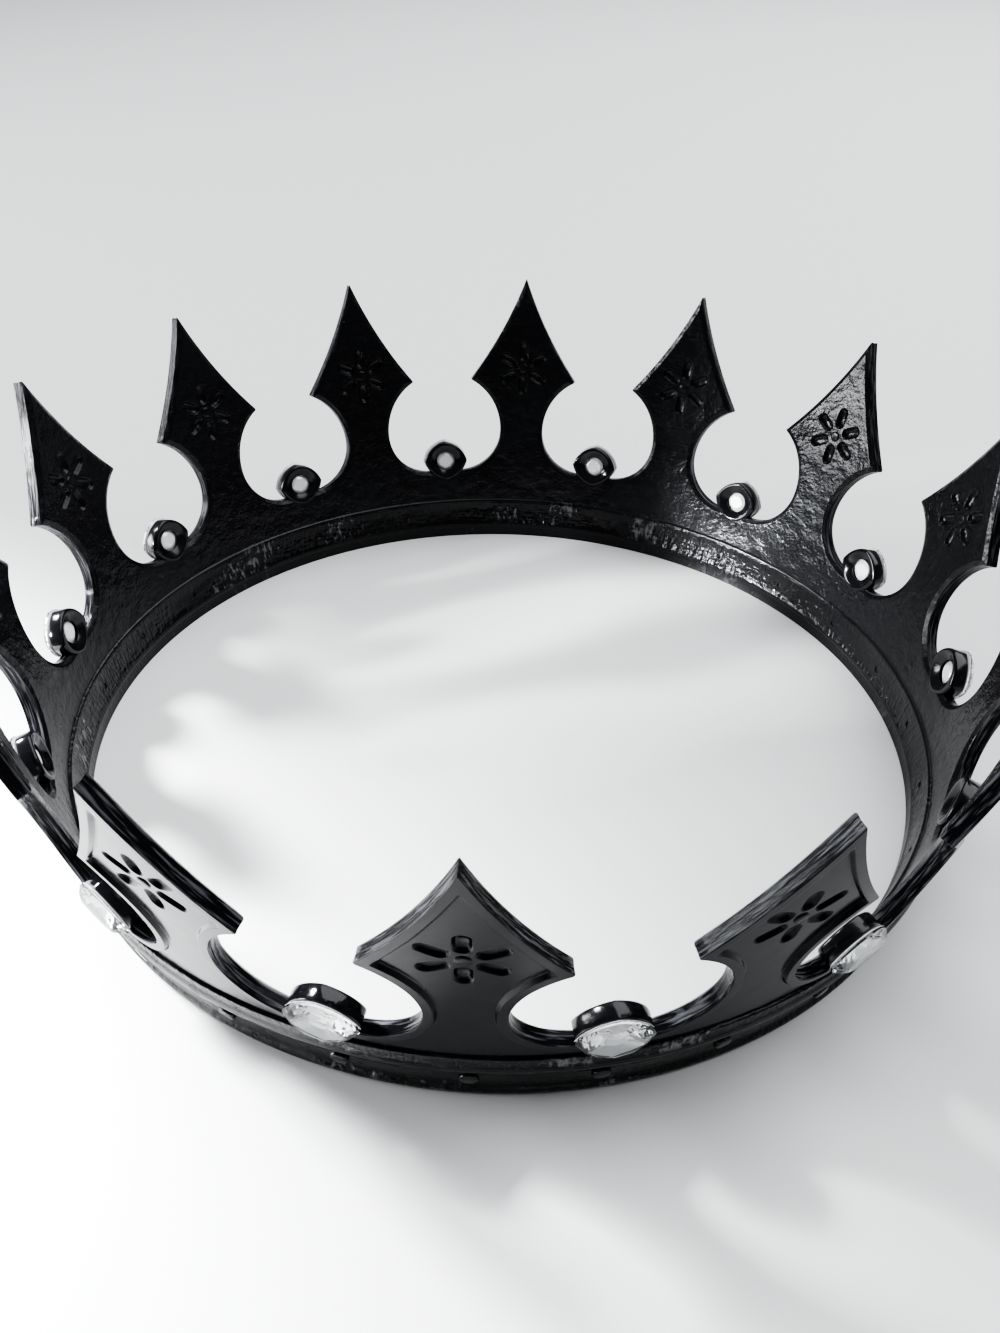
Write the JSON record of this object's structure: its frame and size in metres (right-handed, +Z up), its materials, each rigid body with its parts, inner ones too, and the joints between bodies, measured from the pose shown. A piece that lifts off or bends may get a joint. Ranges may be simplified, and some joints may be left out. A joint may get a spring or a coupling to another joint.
{
  "type": "costume crown",
  "caption": "Rigid glossy black costume crown: a flared open circlet of spear points with round gaps between them and clear faceted stones on collars in the gaps.",
  "frame": {"origin": "centre of the base, on the surface that the crown stands on", "axes": "+Z up along the crown's own axis; one spear point faces -Y, the front, and one faces +Y"},
  "size_m": [0.205, 0.2102, 0.066],
  "materials": {
    "black_plastic": "glossy black, with faint lines running round the band",
    "clear_stone": "clear polished facets with a silver foiled back"
  },
  "bodies": {
    "root": {"circlet": "black_plastic", "stone_01": "clear_stone", "stone_02": "clear_stone", "stone_03": "clear_stone", "stone_04": "clear_stone", "stone_05": "clear_stone", "stone_06": "clear_stone", "stone_07": "clear_stone", "stone_08": "clear_stone", "stone_09": "clear_stone", "stone_10": "clear_stone", "stone_11": "clear_stone", "stone_12": "clear_stone", "stone_13": "clear_stone", "stone_14": "clear_stone"}
  },
  "joints": []
}
